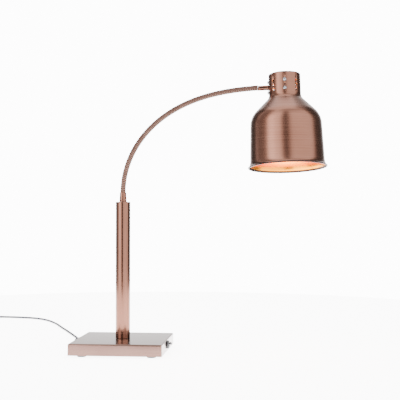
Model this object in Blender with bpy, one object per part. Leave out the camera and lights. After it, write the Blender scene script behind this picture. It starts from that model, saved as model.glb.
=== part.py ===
"""Counter-top heat lamp warmer: weighted base, column, gooseneck arm and bell shade.

Metres, +Z up. The origin is the middle of the base plate's underside; the feet reach
FOOT_DROP below it. The head hangs out along +X and the front faces -Y.
Each sub-part is one object, and every piece keeps GAP to the pieces that it touches.
"""
import math

import bmesh
import bpy
from mathutils import Matrix, Vector

MM = 0.001
GAP = 0.3 * MM

# Base
BASE_HALF = 100 * MM
BASE_HEIGHT = 25 * MM
COVER_WALL = 1.5 * MM
COVER_TOP_ROUND = 3 * MM
COVER_CORNER_ROUND = 2 * MM
PLATE_THICK = 1.5 * MM
BALLAST_HALF = 86 * MM
BALLAST_BOTTOM = 2.1 * MM
BALLAST_THICK = 14 * MM
BALLAST_TOP = BALLAST_BOTTOM + BALLAST_THICK
FOOT_RADIUS = 9.5 * MM
FOOT_DROP = 5 * MM
FOOT_INSET = 25 * MM
FLOOR = -FOOT_DROP

# Column and its fixing
COLUMN_RADIUS = 16 * MM
COLUMN_WALL = 1.5 * MM
COLUMN_HEIGHT = 300 * MM
COLUMN_TOP = BASE_HEIGHT + COLUMN_HEIGHT
THREAD_RADIUS = 4.9 * MM
THREAD_BORE = 3.2 * MM
THREAD_HOLE = THREAD_RADIUS + GAP

# Gooseneck: the tangent falls from NECK_START_ANGLE to the head along the arc length
NECK_RADIUS = 6 * MM
NECK_BORE = 3.5 * MM
NECK_LENGTH = 416.1 * MM
NECK_FOOT = Vector((0.0, 0.0, COLUMN_TOP + 21 * MM))
NECK_START_ANGLE = math.radians(90.0)
NECK_TURN = (math.radians(129.15), math.radians(-20.0), math.radians(-22.7))
NECK_JOINTS = 10
NECK_JOINT_GAP = 3 * MM
NECK_SUNK = 14 * MM

# Head, in its own frame: z is the height above the rim, and the arm enters at ENTRY_HEIGHT
HEAD_ENTRY = Vector((356.2 * MM, 0.0, 574.7 * MM))
HEAD_LEAN = math.radians(-1.9)
HEAD_TILT = math.radians(-4.9)
ENTRY_HEIGHT = 178 * MM
SHADE_WALL = 1.5 * MM
SHADE_NECK_RADIUS = 34.7 * MM
SHADE_TOP = 206 * MM
VENT_RADIUS = 2 * MM
VENT_PITCH = 9.3 * MM
VENT_COLUMNS = 8
SIDE_SCREW_PITCH = 11.5 * MM
UPPER_FERRULE = 23.4 * MM
GLASS_WALL = 1.2 * MM

# Switch, on the side towards the head
SWITCH_Y = -13 * MM
SWITCH_HEIGHT = 14.2 * MM
SWITCH_COLLAR_RADIUS = 9 * MM
SWITCH_COLLAR_THICK = 4.8 * MM
LEVER_PIVOT = Vector((99.2 * MM, SWITCH_Y, SWITCH_HEIGHT))
LEVER_ANGLE = math.radians(14)

# Mains lead
CORD_RADIUS = 3 * MM
RELIEF_Y = 85 * MM
RELIEF_Z = 12 * MM
RELIEF_TIP = -110.5 * MM
RELIEF_LENGTH = 20.5 * MM
CORD_FLOOR = FLOOR + CORD_RADIUS
CORD_ROUTE = [
    (-0.1108, 0.0850, 0.0120), (-0.1140, 0.0850, 0.0120), (-0.1245, 0.0895, 0.0085),
    (-0.1300, 0.0995, 0.0035), (-0.1322, 0.1120, 0.0000), (-0.1340, 0.1310, CORD_FLOOR),
    (-0.1390, 0.1610, CORD_FLOOR), (-0.1485, 0.1900, CORD_FLOOR), (-0.161, 0.220, CORD_FLOOR),
    (-0.176, 0.254, CORD_FLOOR), (-0.192, 0.290, CORD_FLOOR), (-0.209, 0.328, CORD_FLOOR),
    (-0.229, 0.371, CORD_FLOOR), (-0.248, 0.414, CORD_FLOOR), (-0.267, 0.456, CORD_FLOOR),
    (-0.285, 0.491, CORD_FLOOR), (-0.301, 0.519, CORD_FLOOR), (-0.318, 0.544, CORD_FLOOR),
    (-0.336, 0.566, CORD_FLOOR), (-0.357, 0.585, CORD_FLOOR), (-0.384, 0.600, CORD_FLOOR),
    (-0.418, 0.6105, CORD_FLOOR), (-0.455, 0.6165, CORD_FLOOR), (-0.495, 0.6195, CORD_FLOOR),
    (-0.5215, 0.6195, CORD_FLOOR),
]
CORD_POINT_SPACING = 11 * MM
COIL_CENTRE = Vector((-0.550, 0.6625, 0.0))
COIL_INNER = 29.3 * MM
COIL_OUTER = 42.4 * MM
COIL_HEIGHT = 12.6 * MM
TAIL_ROUTE = [
    (-0.5959, 0.6640, 0.0035), (-0.5962, 0.6720, 0.0030), (-0.5968, 0.6850, 0.0040),
    (-0.5970, 0.6940, 0.0054), (-0.5970, 0.7040, 0.0055),
]
PLUG_START = Vector((-0.5970, 0.7043, 0.0055))


def clear_scene():
    for old in list(bpy.data.objects):
        bpy.data.objects.remove(old, do_unlink=True)


def make_material(name, colour, roughness, metallic):
    material = bpy.data.materials.new(name)
    material.use_nodes = True
    shader = material.node_tree.nodes["Principled BSDF"]
    shader.inputs["Base Color"].default_value = (*colour, 1.0)
    shader.inputs["Roughness"].default_value = roughness
    shader.inputs["Metallic"].default_value = metallic
    return material


def add_object(name, bm, colour, roughness=0.4, metallic=0.0, matrix=None):
    """Turn a bmesh into a named object with its own material; matrix places the mesh."""
    bmesh.ops.recalc_face_normals(bm, faces=bm.faces)
    mesh = bpy.data.meshes.new(name)
    bm.to_mesh(mesh)
    bm.free()
    mesh.shade_smooth()
    mesh.set_sharp_from_angle(angle=math.radians(35))
    mesh.materials.append(make_material(name, colour, roughness, metallic))
    part = bpy.data.objects.new(name, mesh)
    bpy.context.scene.collection.objects.link(part)
    if matrix is not None:
        part.matrix_world = matrix
    return part


def skin_rings(bm, rings, closed_ends=True, loop=False):
    """Join rings of equal size into a skin; a ring of one vertex is a pole."""
    pairs = list(zip(rings, rings[1:]))
    if loop:
        pairs.append((rings[-1], rings[0]))
    for low, high in pairs:
        count = max(len(low), len(high))
        for i in range(count):
            j = (i + 1) % count
            corners = [low[i % len(low)], low[j % len(low)], high[j % len(high)], high[i % len(high)]]
            unique = []
            for corner in corners:
                if corner not in unique:
                    unique.append(corner)
            bm.faces.new(unique)
    if closed_ends and not loop:
        for end in (rings[0], rings[-1]):
            if len(end) > 2:
                bm.faces.new(end)


def turned(profile, sides, loop=False, radius_of=None):
    """A bmesh turned about Z from (radius, height) points. A loop profile makes a ring."""
    bm = bmesh.new()
    rings = []
    for radius, height in profile:
        if radius == 0:
            rings.append([bm.verts.new((0, 0, height))])
            continue
        ring = []
        for k in range(sides):
            angle = 2 * math.pi * k / sides
            reach = radius_of(radius, k) if radius_of else radius
            ring.append(bm.verts.new((reach * math.cos(angle), reach * math.sin(angle), height)))
        rings.append(ring)
    skin_rings(bm, rings, loop=loop)
    return bm


def ring_profile(inner, outer, low, high):
    return [(inner, low), (outer, low), (outer, high), (inner, high)]


def hex_nut(bore, corner, low, high):
    """A hexagon nut with a round bore, from twelve sides whose outer radius alternates."""
    flat = corner * math.cos(math.radians(30))

    def reach(radius, k):
        if radius < corner:
            return radius
        return corner if k % 2 == 0 else flat

    return turned(ring_profile(bore, corner, low, high), 12, loop=True, radius_of=reach)


def rounded_square(half_x, half_y, corner, height, steps=2):
    points = []
    for quadrant in range(4):
        for k in range(steps + 1):
            angle = math.pi / 2 * (quadrant + k / steps)
            sign_x = 1 if quadrant in (0, 3) else -1
            sign_y = 1 if quadrant in (0, 1) else -1
            x = sign_x * (half_x - corner) + corner * math.cos(angle)
            y = sign_y * (half_y - corner) + corner * math.sin(angle)
            points.append((x, y, height))
    return points


def lofted(outlines):
    bm = bmesh.new()
    rings = [[bm.verts.new(point) for point in outline] for outline in outlines]
    skin_rings(bm, rings)
    return bm


def block(low, high):
    bm = bmesh.new()
    bmesh.ops.create_cube(bm, size=1.0)
    low, high = Vector(low), Vector(high)
    for vert in bm.verts:
        vert.co = Vector(((low[i] + high[i]) / 2 + vert.co[i] * (high[i] - low[i]) for i in range(3)))
    return bm


def cut(part, cutters):
    """Subtract each cutter with its own Boolean."""
    for cutter in cutters:
        cutter.hide_render = True
        cutter.display_type = "WIRE"
        modifier = part.modifiers.new("Cut", "BOOLEAN")
        modifier.operation = "DIFFERENCE"
        modifier.solver = "EXACT"
        modifier.object = cutter


def fuse(part, pieces):
    """Join overlapping pieces to the part with Booleans."""
    for piece in pieces:
        piece.hide_render = True
        piece.display_type = "WIRE"
        modifier = part.modifiers.new("Fuse", "BOOLEAN")
        modifier.operation = "UNION"
        modifier.solver = "EXACT"
        modifier.object = piece


def drill(name, radius, length, centre, direction, sides=16):
    """A round cutter of the given length, centred, along direction."""
    bm = turned([(radius, -length / 2), (radius, length / 2)], sides)
    aim = Vector(direction).to_track_quat("Z", "Y").to_matrix().to_4x4()
    return add_object(name, bm, (0.8, 0.2, 0.2), matrix=Matrix.Translation(Vector(centre)) @ aim)


def along(start, direction):
    """The matrix that puts a turned piece's foot at start, pointing along direction."""
    return Matrix.Translation(Vector(start)) @ Vector(direction).to_track_quat("Z", "Y").to_matrix().to_4x4()


def smooth_route(points, spacing):
    """Points about spacing apart on a Catmull-Rom curve through the route's own points."""
    knots = [Vector(p) for p in points]
    knots = [knots[0] * 2 - knots[1]] + knots + [knots[-1] * 2 - knots[-2]]
    dense = []
    for a, b, c, d in zip(knots, knots[1:], knots[2:], knots[3:]):
        for k in range(20):
            t = k / 20
            dense.append(
                0.5 * ((2 * b) + (c - a) * t + (2 * a - 5 * b + 4 * c - d) * t**2
                       + (3 * b - a - 3 * c + d) * t**3)
            )
    dense.append(knots[-2])
    lengths = [0.0]
    for p, q in zip(dense, dense[1:]):
        lengths.append(lengths[-1] + (q - p).length)
    count = max(2, round(lengths[-1] / spacing))
    route = []
    index = 0
    for k in range(count + 1):
        target = lengths[-1] * k / count
        while index < len(dense) - 2 and lengths[index + 1] < target:
            index += 1
        share = (target - lengths[index]) / (lengths[index + 1] - lengths[index])
        route.append(dense[index].lerp(dense[index + 1], min(share, 1.0)))
    return route


def add_tube(name, points, radius, colour, resolution=2, roughness=0.5):
    curve = bpy.data.curves.new(name, "CURVE")
    curve.dimensions = "3D"
    curve.bevel_depth = radius
    curve.bevel_resolution = resolution
    curve.use_fill_caps = True
    spline = curve.splines.new("POLY")
    spline.points.add(len(points) - 1)
    for target, point in zip(spline.points, points):
        target.co = (*point, 1.0)
    curve.materials.append(make_material(name, colour, roughness, 0.0))
    part = bpy.data.objects.new(name, curve)
    bpy.context.scene.collection.objects.link(part)
    return part


COPPER = (0.36, 0.20, 0.14)
STEEL = (0.55, 0.55, 0.57)
ZINC = (0.62, 0.62, 0.60)
BRASS = (0.70, 0.52, 0.25)
BLACK = (0.02, 0.02, 0.022)
CORD_COLOUR = (0.012, 0.014, 0.034)


def build_base():
    inner = BASE_HALF - COVER_WALL
    inner_corner = 0.5 * MM
    outlines = [
        rounded_square(inner, inner, inner_corner, BASE_HEIGHT - COVER_WALL),
        rounded_square(inner, inner, inner_corner, 0),
        rounded_square(BASE_HALF, BASE_HALF, COVER_CORNER_ROUND, 0),
    ]
    for k in range(5):
        angle = math.pi / 2 * k / 4
        inset = COVER_TOP_ROUND * (1 - math.cos(angle))
        height = BASE_HEIGHT - COVER_TOP_ROUND * (1 - math.sin(angle))
        half = BASE_HALF - inset
        outlines.append(rounded_square(half, half, COVER_CORNER_ROUND, height))
    cover = add_object("base_cover", lofted(outlines), COPPER, 0.3, 1.0)
    top_hole = drill("cover_column_hole", THREAD_HOLE, 6 * MM, (0, 0, BASE_HEIGHT), (0, 0, 1))
    switch_hole = drill("cover_switch_hole", 6 * MM, 6 * MM, (BASE_HALF, SWITCH_Y, SWITCH_HEIGHT), (1, 0, 0))
    relief_hole = drill("cover_relief_hole", 5.3 * MM, 6 * MM, (-BASE_HALF, RELIEF_Y, RELIEF_Z), (1, 0, 0))
    cut(cover, [top_hole, switch_hole, relief_hole])

    plate_half = inner - GAP
    plate = add_object(
        "base_plate",
        lofted([rounded_square(plate_half, plate_half, 1 * MM, z) for z in (0, PLATE_THICK)]),
        STEEL, 0.45, 1.0,
    )
    ballast = add_object(
        "ballast_plate",
        lofted([rounded_square(BALLAST_HALF, BALLAST_HALF, 3 * MM, z) for z in (BALLAST_BOTTOM, BALLAST_TOP)]),
        (0.3, 0.3, 0.3), 0.6, 1.0,
    )
    notch_box = block((70 * MM, SWITCH_Y - 13 * MM, 0), (90 * MM, SWITCH_Y + 13 * MM, 20 * MM))
    notch = add_object("ballast_switch_notch", notch_box, STEEL)
    corner = add_object("ballast_lead_notch", block((-90 * MM, 79 * MM, 0), (-80 * MM, 90 * MM, 20 * MM)), STEEL)
    bore = drill("ballast_bore", THREAD_HOLE, 40 * MM, (0, 0, BALLAST_BOTTOM), (0, 0, 1))
    recess = drill("ballast_recess", 12 * MM, 16 * MM, (0, 0, BALLAST_BOTTOM), (0, 0, 1))
    plate_holes = []
    ballast_holes = [notch, corner, bore, recess]
    reach = BASE_HALF - FOOT_INSET
    places = {
        "front_left": (-reach, -reach), "front_right": (reach, -reach),
        "rear_left": (-reach, reach), "rear_right": (reach, reach),
    }
    for place, (x, y) in places.items():
        build_foot(place, x, y)
        plate_holes.append(drill("plate_hole_" + place, FOOT_RADIUS + 2 * GAP, 8 * MM, (x, y, 0), (0, 0, 1), 20))
        ballast_holes.append(drill("ballast_hole_" + place, 2.4 * MM, 20 * MM, (x, y, 4 * MM), (0, 0, 1), 10))
    cut(plate, plate_holes)
    cut(ballast, ballast_holes)


def build_foot(place, x, y):
    """A rubber foot seated on the ballast plate through the base plate, and its screw."""
    top = BALLAST_BOTTOM - GAP
    seat = -1 * MM
    foot = [
        (2.4 * MM, top), (2.4 * MM, seat), (5 * MM, seat), (5 * MM, FLOOR),
        (FOOT_RADIUS - 1 * MM, FLOOR), (FOOT_RADIUS, FLOOR + 1 * MM), (FOOT_RADIUS, top),
    ]
    shift = Matrix.Translation((x, y, 0))
    add_object("foot_" + place, turned(foot, 16, loop=True), BLACK, 0.8, 0.0, shift)
    screw = [
        (0, seat - 2.3 * MM), (3 * MM, seat - 2.1 * MM), (4.2 * MM, seat - 1 * MM), (4.2 * MM, seat - GAP),
        (2 * MM, seat - GAP), (2 * MM, 11 * MM), (0, 12 * MM),
    ]
    add_object("foot_screw_" + place, turned(screw, 10), ZINC, 0.35, 1.0, shift)


def build_column():
    inner = COLUMN_RADIUS - COLUMN_WALL
    plug_radius = inner - GAP
    low = BASE_HEIGHT + GAP
    bevel = 0.6 * MM
    tube = [
        (inner, low), (COLUMN_RADIUS, low), (COLUMN_RADIUS, COLUMN_TOP - bevel),
        (COLUMN_RADIUS - bevel, COLUMN_TOP), (inner, COLUMN_TOP),
    ]
    add_object("column_tube", turned(tube, 32, loop=True), COPPER, 0.3, 1.0)
    plug = ring_profile(THREAD_HOLE, plug_radius, low, low + 11 * MM)
    add_object("column_bottom_plug", turned(plug, 24, loop=True), ZINC, 0.4, 1.0)
    plug = ring_profile(THREAD_HOLE, plug_radius, COLUMN_TOP - 12 * MM, COLUMN_TOP - 0.4 * MM)
    add_object("column_top_plug", turned(plug, 24, loop=True), COPPER, 0.35, 1.0)
    nipple = ring_profile(THREAD_BORE, THREAD_RADIUS, 2.6 * MM, low + 9 * MM)
    add_object("column_nipple", turned(nipple, 16, loop=True), ZINC, 0.4, 1.0)
    washer = ring_profile(THREAD_HOLE, 10 * MM, 8.6 * MM, 9.7 * MM)
    add_object("column_washer", turned(washer, 20, loop=True), ZINC, 0.35, 1.0)
    add_object("column_nut", hex_nut(THREAD_HOLE, 9 * MM, 3.2 * MM, 8.3 * MM), BRASS, 0.4, 1.0)
    spacer = ring_profile(THREAD_HOLE, 11 * MM, BALLAST_TOP + GAP, BASE_HEIGHT - COVER_WALL - GAP)
    add_object("spacer_sleeve", turned(spacer, 20, loop=True), ZINC, 0.4, 1.0)


def neck_angle(share):
    """The tangent's angle above +X at a share of the gooseneck's length."""
    first, second, third = NECK_TURN
    return NECK_START_ANGLE - (first * share + second * share**2 + third * share**3)


def neck_point(length):
    """The centre line at a length along the gooseneck; it runs straight down below its foot."""
    if length <= 0:
        return NECK_FOOT + Vector((0, 0, length))
    steps = 200
    step = length / steps
    point = NECK_FOOT.copy()
    for k in range(steps):
        angle = neck_angle((k + 0.5) * step / NECK_LENGTH)
        point += Vector((math.cos(angle), 0, math.sin(angle))) * step
    return point


def neck_frame(length):
    angle = neck_angle(max(length, 0) / NECK_LENGTH)
    across = Vector((0, 1, 0))
    normal = Vector((-math.sin(angle), 0, math.cos(angle)))
    return neck_point(length), across, normal


def neck_segment(name, start, end):
    """One hollow piece of the gooseneck between two lengths along it."""
    sides = 10
    steps = 3
    bm = bmesh.new()
    rings = []
    stations = [start + (end - start) * k / steps for k in range(steps + 1)]
    for radius, order in ((NECK_RADIUS, stations), (NECK_BORE, stations[::-1])):
        for length in order:
            centre, across, normal = neck_frame(length)
            ring = []
            for k in range(sides):
                angle = 2 * math.pi * k / sides
                ring.append(bm.verts.new(centre + (across * math.cos(angle) + normal * math.sin(angle)) * radius))
            rings.append(ring)
    skin_rings(bm, rings, loop=True)
    add_object(name, bm, COPPER, 0.35, 1.0)


def build_gooseneck():
    ferrule = [
        (THREAD_BORE, COLUMN_TOP + GAP), (8.15 * MM, COLUMN_TOP + GAP), (8.15 * MM, COLUMN_TOP + 2 * MM),
        (6.95 * MM, COLUMN_TOP + 21 * MM), (NECK_RADIUS + GAP, COLUMN_TOP + 21 * MM),
        (NECK_RADIUS + GAP, COLUMN_TOP + 21 * MM - NECK_SUNK - GAP),
        (THREAD_BORE, COLUMN_TOP + 21 * MM - NECK_SUNK - GAP),
    ]
    add_object("lower_ferrule", turned(ferrule, 24, loop=True), COPPER, 0.35, 1.0)
    pitch = NECK_LENGTH / NECK_JOINTS
    for k in range(NECK_JOINTS + 1):
        start = -NECK_SUNK if k == 0 else (k - 0.5) * pitch + NECK_JOINT_GAP / 2
        end = NECK_LENGTH if k == NECK_JOINTS else (k + 0.5) * pitch - NECK_JOINT_GAP / 2
        neck_segment(f"gooseneck_link_{k}", start, end)


def head_matrix():
    """From the head's frame (rim centre at its origin, +Z up the neck) to the world."""
    turn = Matrix.Rotation(HEAD_TILT, 4, "X") @ Matrix.Rotation(HEAD_LEAN, 4, "Y")
    return Matrix.Translation(HEAD_ENTRY) @ turn @ Matrix.Translation((0, 0, -ENTRY_HEIGHT))


def arc(centre, radius, start, end, steps):
    """Points on an arc, with angles in degrees."""
    points = []
    for k in range(steps + 1):
        angle = math.radians(start + (end - start) * k / steps)
        points.append((centre[0] + radius * math.cos(angle), centre[1] + radius * math.sin(angle)))
    return points


def shade_outline():
    """The bell's outer profile from the rim up: lip, body, shoulder, cone, fillet and neck."""
    body_foot = (80.0 * MM, 14 * MM)
    lip = [(85.5 * MM, 0.4 * MM), (85.3 * MM, 2.4 * MM), (82.6 * MM, 7 * MM), (80.7 * MM, 11 * MM)]
    shoulder = arc((32.3 * MM, 92.7 * MM), 45 * MM, 0, 45, 4)
    fillet = arc((52.7 * MM, 161.5 * MM), 18 * MM, 225, 180, 3)
    neck = [(SHADE_NECK_RADIUS, SHADE_TOP - 2.5 * MM)]
    crown = arc((SHADE_NECK_RADIUS - 2.5 * MM, SHADE_TOP - 2.5 * MM), 2.5 * MM, 30, 90, 2)
    return lip + [body_foot] + shoulder + fillet + neck + crown


def shade_profile():
    """The shell's closed profile: up the outside, then back down a wall's thickness inside."""
    outer = shade_outline()
    inner = []
    for k, point in enumerate(outer):
        before = Vector(outer[max(k - 1, 0)])
        after = Vector(outer[min(k + 1, len(outer) - 1)])
        run = (after - before).normalized()
        inward = Vector((-run.y, run.x))
        inner.append(Vector(point) + inward * SHADE_WALL)
    inner = [(p.x, max(p.y, 0.4 * MM)) for p in inner]
    inner[-1] = (outer[-1][0], SHADE_TOP - SHADE_WALL)
    return [(0, SHADE_TOP)] + outer[::-1] + inner + [(0, SHADE_TOP - SHADE_WALL)]


def build_shade(place):
    bm = turned(shade_profile(), 40)
    shade = add_object("shade", bm, COPPER, 0.3, 1.0, place)
    cutters = []
    for column in range(VENT_COLUMNS):
        angle = 2 * math.pi * column / VENT_COLUMNS
        outward = Vector((math.cos(angle), math.sin(angle), 0))
        at_arm = column == VENT_COLUMNS // 2
        pitch = SIDE_SCREW_PITCH if at_arm else VENT_PITCH
        for row in (-1, 0, 1):
            radius = THREAD_HOLE if at_arm and row == 0 else VENT_RADIUS
            centre = outward * SHADE_NECK_RADIUS + Vector((0, 0, ENTRY_HEIGHT + row * pitch))
            hole = drill(f"vent_{column}_{row + 1}", radius, 8 * MM, (0, 0, 0), (0, 0, 1), 9)
            hole.matrix_world = place @ along(centre, outward)
            cutters.append(hole)
    cut(shade, cutters)


def dome_screw(name, place, centre, outward):
    """A small screw whose domed head sits on the outside of the shade's neck."""
    profile = [
        (0, -7 * MM), (1.3 * MM, -7 * MM), (1.6 * MM, -6.5 * MM), (1.6 * MM, 0), (3.75 * MM, 0),
        (3.75 * MM, 0.8 * MM), (3 * MM, 2 * MM), (1.6 * MM, 2.8 * MM), (0, 3 * MM),
    ]
    add_object(name, turned(profile, 10), ZINC, 0.3, 1.0, place @ along(centre, outward))


def build_head_fixings(place):
    seat = SHADE_NECK_RADIUS + GAP
    for side, sign in (("front", -1), ("rear", 1)):
        for level, row in (("lower", -1), ("upper", 1)):
            centre = Vector((0, sign * seat, ENTRY_HEIGHT + row * VENT_PITCH))
            dome_screw(f"{side}_screw_{level}", place, centre, (0, sign, 0))
    for level, row in (("lower", -1), ("upper", 1)):
        centre = Vector((-seat, 0, ENTRY_HEIGHT + row * SIDE_SCREW_PITCH))
        dome_screw(f"side_screw_{level}", place, centre, (-1, 0, 0))

    thread = THREAD_RADIUS - GAP
    span = UPPER_FERRULE
    ferrule = [
        (THREAD_BORE, 0), (5.3 * MM, 0), (5.5 * MM, 0.8 * MM), (5.5 * MM, span - 0.8 * MM),
        (thread, span - 0.8 * MM), (thread, span + 11 * MM), (THREAD_BORE, span + 11 * MM),
    ]
    ferrule_place = place @ along((-SHADE_NECK_RADIUS - span, 0, ENTRY_HEIGHT), (1, 0, 0))
    add_object("upper_ferrule", turned(ferrule, 20, loop=True), COPPER, 0.35, 1.0, ferrule_place)

    flange = add_object(
        "arm_flange",
        block((-31.4 * MM, -8 * MM, ENTRY_HEIGHT - 16 * MM), (-29.4 * MM, 8 * MM, ENTRY_HEIGHT + 16 * MM)),
        ZINC, 0.4, 1.0, place,
    )
    holes = []
    for row, radius in ((-1, VENT_RADIUS), (0, THREAD_HOLE), (1, VENT_RADIUS)):
        centre = (-30 * MM, 0, ENTRY_HEIGHT + row * SIDE_SCREW_PITCH)
        holes.append(drill(f"flange_hole_{row + 1}", radius, 8 * MM, (0, 0, 0), (0, 0, 1), 12))
        holes[-1].matrix_world = place @ along(centre, (1, 0, 0))
    cut(flange, holes)
    nut = hex_nut(THREAD_HOLE, 8 * MM, 0, 4.2 * MM)
    nut_place = place @ along((-29.1 * MM, 0, ENTRY_HEIGHT), (1, 0, 0))
    add_object("arm_lock_nut", nut, BRASS, 0.4, 1.0, nut_place)


def build_socket(place):
    """The bracket screwed inside the neck, the ceramic lamp socket and its threaded nipple."""
    top = 198.4 * MM
    leg = 30 * MM
    width = 9 * MM
    sheet = 1.5 * MM
    foot = ENTRY_HEIGHT - 14 * MM
    outline = [
        (-leg, foot), (-leg + sheet, foot), (-leg + sheet, top), (leg - sheet, top),
        (leg - sheet, foot), (leg, foot), (leg, top + sheet), (-leg, top + sheet),
    ]
    bm = bmesh.new()
    rings = [[bm.verts.new((x, y, z)) for y, z in outline] for x in (-width, width)]
    skin_rings(bm, rings)
    bracket = add_object("socket_bracket", bm, ZINC, 0.4, 1.0, place)
    holes = [drill("bracket_nipple_hole", THREAD_HOLE, 8 * MM, (0, 0, 0), (0, 0, 1), 12)]
    holes[0].matrix_world = place @ Matrix.Translation((0, 0, top))
    for row in (-1, 1):
        hole = drill(f"bracket_screw_hole_{row + 1}", VENT_RADIUS, 80 * MM, (0, 0, 0), (0, 0, 1), 10)
        hole.matrix_world = place @ along((0, 0, ENTRY_HEIGHT + row * VENT_PITCH), (0, 1, 0))
        holes.append(hole)
    cut(bracket, holes)

    socket = [
        (THREAD_HOLE, 184 * MM), (14.2 * MM, 184 * MM), (14.2 * MM, 152 * MM), (19 * MM, 152 * MM),
        (21 * MM, 154 * MM), (21 * MM, 175 * MM), (18.5 * MM, 178 * MM), (18.5 * MM, 198 * MM),
        (THREAD_HOLE, 198 * MM),
    ]
    add_object("lamp_socket", turned(socket, 20, loop=True), (0.86, 0.85, 0.8), 0.3, 0.0, place)
    nipple = ring_profile(THREAD_BORE, THREAD_RADIUS, 185 * MM, 203.6 * MM)
    add_object("socket_nipple", turned(nipple, 12, loop=True), ZINC, 0.4, 1.0, place)
    add_object("socket_nut", hex_nut(THREAD_HOLE, 8 * MM, 200.3 * MM, 203.4 * MM), BRASS, 0.4, 1.0, place)


def build_bulb(place):
    """A reflector heat bulb: a glass bell with a domed face, open at its neck, and its screw cap."""
    neck = [(16 * MM, 149.7 * MM), (17 * MM, 147 * MM), (17.5 * MM, 138 * MM)]
    cone = [(20.5 * MM, 132 * MM), (40 * MM, 100 * MM), (56 * MM, 72 * MM)]
    edge = arc((55.5 * MM, 50 * MM), 7 * MM, 60, -60, 4)
    face = [(48 * MM, 32.0 * MM), (36 * MM, 26.5 * MM), (19 * MM, 22.5 * MM), (0, 21 * MM)]
    outer = neck + cone + edge + face
    inner = []
    for k in range(len(outer) - 1):
        run = Vector(outer[k + 1]) - Vector(outer[max(k - 1, 0)])
        inward = Vector((run.y, -run.x)).normalized()
        inner.append(tuple(Vector(outer[k]) + inward * GLASS_WALL))
    inner[0] = (inner[0][0], 149.7 * MM)
    profile = [(0, 21 * MM + GLASS_WALL)] + inner[::-1] + outer
    add_object("bulb_glass", turned(profile, 24), (1.0, 0.75, 0.45), 0.1, 0.0, place)
    cap = [
        (0, 150 * MM), (13.6 * MM, 150 * MM), (13.6 * MM, 174 * MM), (11 * MM, 178 * MM),
        (5 * MM, 180 * MM), (4.5 * MM, 182.5 * MM), (0, 183 * MM),
    ]
    add_object("bulb_cap", turned(cap, 16), BRASS, 0.35, 1.0, place)


def build_switch():
    body = add_object(
        "switch_body",
        block((74 * MM, SWITCH_Y - 9 * MM, 6.2 * MM), (98.2 * MM, SWITCH_Y + 9 * MM, 22.2 * MM)),
        BLACK, 0.5,
    )
    bush = drill("switch_bush", 5.6 * MM, 8 * MM, (98.5 * MM, SWITCH_Y, SWITCH_HEIGHT), (1, 0, 0), 20)
    fuse(body, [bush])
    pocket = drill("switch_pocket", 3.8 * MM, 12 * MM, (99 * MM, SWITCH_Y, SWITCH_HEIGHT), (1, 0, 0), 20)
    cut(body, [pocket])
    reach = SWITCH_COLLAR_RADIUS
    low = GAP
    high = SWITCH_COLLAR_THICK
    collar = [
        (5.9 * MM, low), (reach, low), (reach, high - 0.8 * MM), (reach - 0.8 * MM, high), (5.9 * MM, high),
    ]
    add_object(
        "switch_collar", turned(collar, 20, loop=True), BLACK, 0.45, 0.0,
        along((BASE_HALF, SWITCH_Y, SWITCH_HEIGHT), (1, 0, 0)),
    )
    lever = [
        (0, -2.4 * MM), (1.6 * MM, -2 * MM), (1.6 * MM, 7 * MM), (2.9 * MM, 7.6 * MM),
        (3.25 * MM, 10 * MM), (2.7 * MM, 11.2 * MM), (0, 11.8 * MM),
    ]
    aim = Vector((math.cos(LEVER_ANGLE), 0, math.sin(LEVER_ANGLE)))
    add_object("switch_lever", turned(lever, 12), (0.05, 0.05, 0.055), 0.4, 0.0, along(LEVER_PIVOT, aim))


def build_wiring():
    """Terminal block and wires in the space between the ballast plate and the cover."""
    block_low = (-58 * MM, 50 * MM, BALLAST_TOP + GAP)
    block_high = (-38 * MM, 64 * MM, BALLAST_TOP + 6.3 * MM)
    add_object("terminal_block", block(block_low, block_high), (0.85, 0.85, 0.8), 0.5)
    routes = {
        "supply_wire": [(-89.6, 85, 12), (-86.5, 84.8, 13.5), (-83, 83, 18.4), (-72, 66, 19.4), (-58.4, 57, 19.4)],
        "switch_wire": [(-37.6, 57, 19.4), (-10, 52, 19.4), (30, 24, 19.4), (58, -4, 19.4), (73.4, -11, 18)],
        "column_wire": [(-37.6, 53, 19.4), (-24, 44, 19.4), (-15, 26, 19.4), (-11.6, 12, 19.4)],
    }
    for name, route in routes.items():
        points = smooth_route([Vector(p) * MM for p in route], 6 * MM)
        add_tube(name, points, 1.1 * MM, (0.25, 0.12, 0.05), 0)


def build_mains_lead():
    """Strain relief and nut in the cover's left wall, the free cord, its coil, tie and plug."""
    relief = [
        (2.2 * MM, 0), (4.9 * MM, 0), (4.9 * MM, 10.3 * MM), (7 * MM, 10.3 * MM), (7 * MM, 12 * MM),
        (5.6 * MM, 13 * MM), (4.0 * MM, RELIEF_LENGTH), (2.2 * MM, RELIEF_LENGTH),
    ]
    relief_foot = (RELIEF_TIP + RELIEF_LENGTH, RELIEF_Y, RELIEF_Z)
    add_object("strain_relief", turned(relief, 14, loop=True), BLACK, 0.6, 0.0, along(relief_foot, (-1, 0, 0)))
    nut_foot = (-94.2 * MM, RELIEF_Y, RELIEF_Z)
    add_object(
        "strain_relief_nut", hex_nut(5.3 * MM, 8 * MM, 0, 4 * MM), BLACK, 0.6, 0.0, along(nut_foot, (-1, 0, 0)),
    )
    lead = [Vector(CORD_ROUTE[0])] + smooth_route(CORD_ROUTE[1:], CORD_POINT_SPACING)
    add_tube("cord_lead", lead, CORD_RADIUS, CORD_COLOUR)
    coil = ring_profile(COIL_INNER, COIL_OUTER, FLOOR, FLOOR + COIL_HEIGHT)
    place = Matrix.Translation(COIL_CENTRE)
    add_object("cord_coil", turned(coil, 32, loop=True), CORD_COLOUR, 0.5, 0.0, place)
    add_tube("cord_tail", smooth_route(TAIL_ROUTE, 8 * MM), CORD_RADIUS, CORD_COLOUR)
    build_tie()
    build_plug()


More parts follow.
